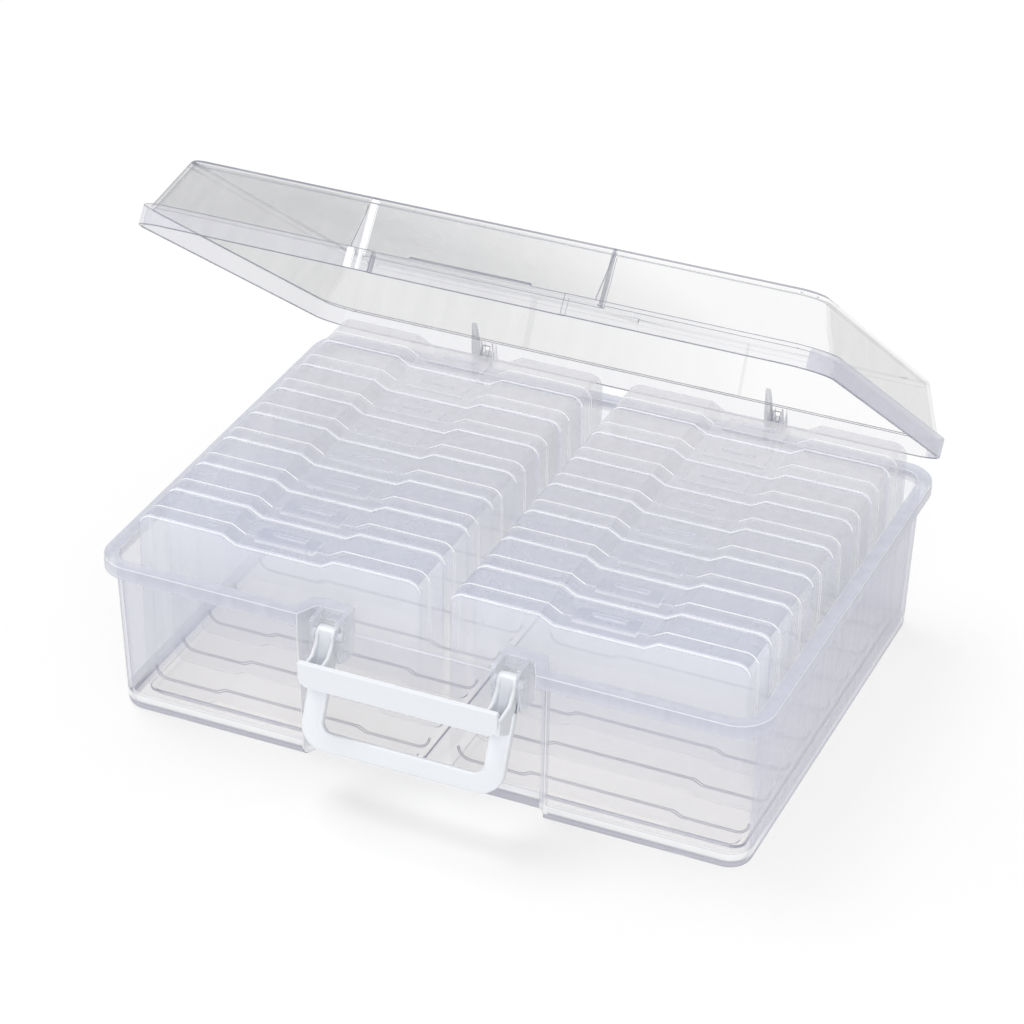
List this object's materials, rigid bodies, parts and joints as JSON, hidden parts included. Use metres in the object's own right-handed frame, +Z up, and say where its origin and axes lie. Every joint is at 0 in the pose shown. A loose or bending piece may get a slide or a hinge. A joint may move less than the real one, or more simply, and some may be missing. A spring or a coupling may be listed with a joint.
{
  "type": "photo keeper case",
  "caption": "Clear hinged carry case with a swinging handle that latches the lid, holding upright slim photo cases that lift out.",
  "frame": {"origin": "centre of the box's flat underside, midway across and midway between the rim's front and back edges", "axes": "+X across the box, the long way; -Y to the handle and latch, +Y to the hinge; +Z up"},
  "size_m": [0.388, 0.3266, 0.2972],
  "materials": {
    "clear_box": "clear moulded polypropylene",
    "clear_case": "clear moulded polypropylene, slightly cloudy",
    "white_handle": "white moulded plastic, soft sheen"
  },
  "bodies": {
    "box": {"case_base": "clear_box"},
    "lid": {"case_lid": "clear_box"},
    "handle": {"carry_handle": "white_handle"},
    "photo_case_left_1": {"photo_case_left_1_tray": "clear_case", "photo_case_left_1_cover": "clear_case"},
    "photo_case_left_2": {"photo_case_left_2_tray": "clear_case", "photo_case_left_2_cover": "clear_case"},
    "photo_case_left_3": {"photo_case_left_3_tray": "clear_case", "photo_case_left_3_cover": "clear_case"},
    "photo_case_left_4": {"photo_case_left_4_tray": "clear_case", "photo_case_left_4_cover": "clear_case"},
    "photo_case_left_5": {"photo_case_left_5_tray": "clear_case", "photo_case_left_5_cover": "clear_case"},
    "photo_case_left_6": {"photo_case_left_6_tray": "clear_case", "photo_case_left_6_cover": "clear_case"},
    "photo_case_left_7": {"photo_case_left_7_tray": "clear_case", "photo_case_left_7_cover": "clear_case"},
    "photo_case_left_8": {"photo_case_left_8_tray": "clear_case", "photo_case_left_8_cover": "clear_case"},
    "photo_case_right_1": {"photo_case_right_1_tray": "clear_case", "photo_case_right_1_cover": "clear_case"},
    "photo_case_right_2": {"photo_case_right_2_tray": "clear_case", "photo_case_right_2_cover": "clear_case"},
    "photo_case_right_3": {"photo_case_right_3_tray": "clear_case", "photo_case_right_3_cover": "clear_case"},
    "photo_case_right_4": {"photo_case_right_4_tray": "clear_case", "photo_case_right_4_cover": "clear_case"},
    "photo_case_right_5": {"photo_case_right_5_tray": "clear_case", "photo_case_right_5_cover": "clear_case"},
    "photo_case_right_6": {"photo_case_right_6_tray": "clear_case", "photo_case_right_6_cover": "clear_case"},
    "photo_case_right_7": {"photo_case_right_7_tray": "clear_case", "photo_case_right_7_cover": "clear_case"},
    "photo_case_right_8": {"photo_case_right_8_tray": "clear_case", "photo_case_right_8_cover": "clear_case"}
  },
  "joints": [
    {"name": "lid_hinge", "type": "hinge", "parent": "box", "child": "lid", "pos_m": [0, 0.1495, 0.098], "axis": [-1, 0, 0], "range_deg": [-37, 63]},
    {"name": "handle_pivot", "type": "hinge", "parent": "box", "child": "handle", "pos_m": [0, -0.139, 0.086], "axis": [1, 0, 0], "range_deg": [-96, 0]},
    {"name": "photo_case_left_1_lift", "type": "slide", "parent": "box", "child": "photo_case_left_1", "axis": [0, 0, 1], "range_m": [0, 0.115]},
    {"name": "photo_case_left_2_lift", "type": "slide", "parent": "box", "child": "photo_case_left_2", "axis": [0, 0, 1], "range_m": [0, 0.115]},
    {"name": "photo_case_left_3_lift", "type": "slide", "parent": "box", "child": "photo_case_left_3", "axis": [0, 0, 1], "range_m": [0, 0.115]},
    {"name": "photo_case_left_4_lift", "type": "slide", "parent": "box", "child": "photo_case_left_4", "axis": [0, 0, 1], "range_m": [0, 0.115]},
    {"name": "photo_case_left_5_lift", "type": "slide", "parent": "box", "child": "photo_case_left_5", "axis": [0, 0, 1], "range_m": [0, 0.107]},
    {"name": "photo_case_left_6_lift", "type": "slide", "parent": "box", "child": "photo_case_left_6", "axis": [0, 0, 1], "range_m": [0, 0.083]},
    {"name": "photo_case_left_7_lift", "type": "slide", "parent": "box", "child": "photo_case_left_7", "axis": [0, 0, 1], "range_m": [0, 0.06]},
    {"name": "photo_case_left_8_lift", "type": "slide", "parent": "box", "child": "photo_case_left_8", "axis": [0, 0, 1], "range_m": [0, 0.037]},
    {"name": "photo_case_right_1_lift", "type": "slide", "parent": "box", "child": "photo_case_right_1", "axis": [0, 0, 1], "range_m": [0, 0.115]},
    {"name": "photo_case_right_2_lift", "type": "slide", "parent": "box", "child": "photo_case_right_2", "axis": [0, 0, 1], "range_m": [0, 0.115]},
    {"name": "photo_case_right_3_lift", "type": "slide", "parent": "box", "child": "photo_case_right_3", "axis": [0, 0, 1], "range_m": [0, 0.115]},
    {"name": "photo_case_right_4_lift", "type": "slide", "parent": "box", "child": "photo_case_right_4", "axis": [0, 0, 1], "range_m": [0, 0.115]},
    {"name": "photo_case_right_5_lift", "type": "slide", "parent": "box", "child": "photo_case_right_5", "axis": [0, 0, 1], "range_m": [0, 0.107]},
    {"name": "photo_case_right_6_lift", "type": "slide", "parent": "box", "child": "photo_case_right_6", "axis": [0, 0, 1], "range_m": [0, 0.083]},
    {"name": "photo_case_right_7_lift", "type": "slide", "parent": "box", "child": "photo_case_right_7", "axis": [0, 0, 1], "range_m": [0, 0.06]},
    {"name": "photo_case_right_8_lift", "type": "slide", "parent": "box", "child": "photo_case_right_8", "axis": [0, 0, 1], "range_m": [0, 0.037]}
  ]
}
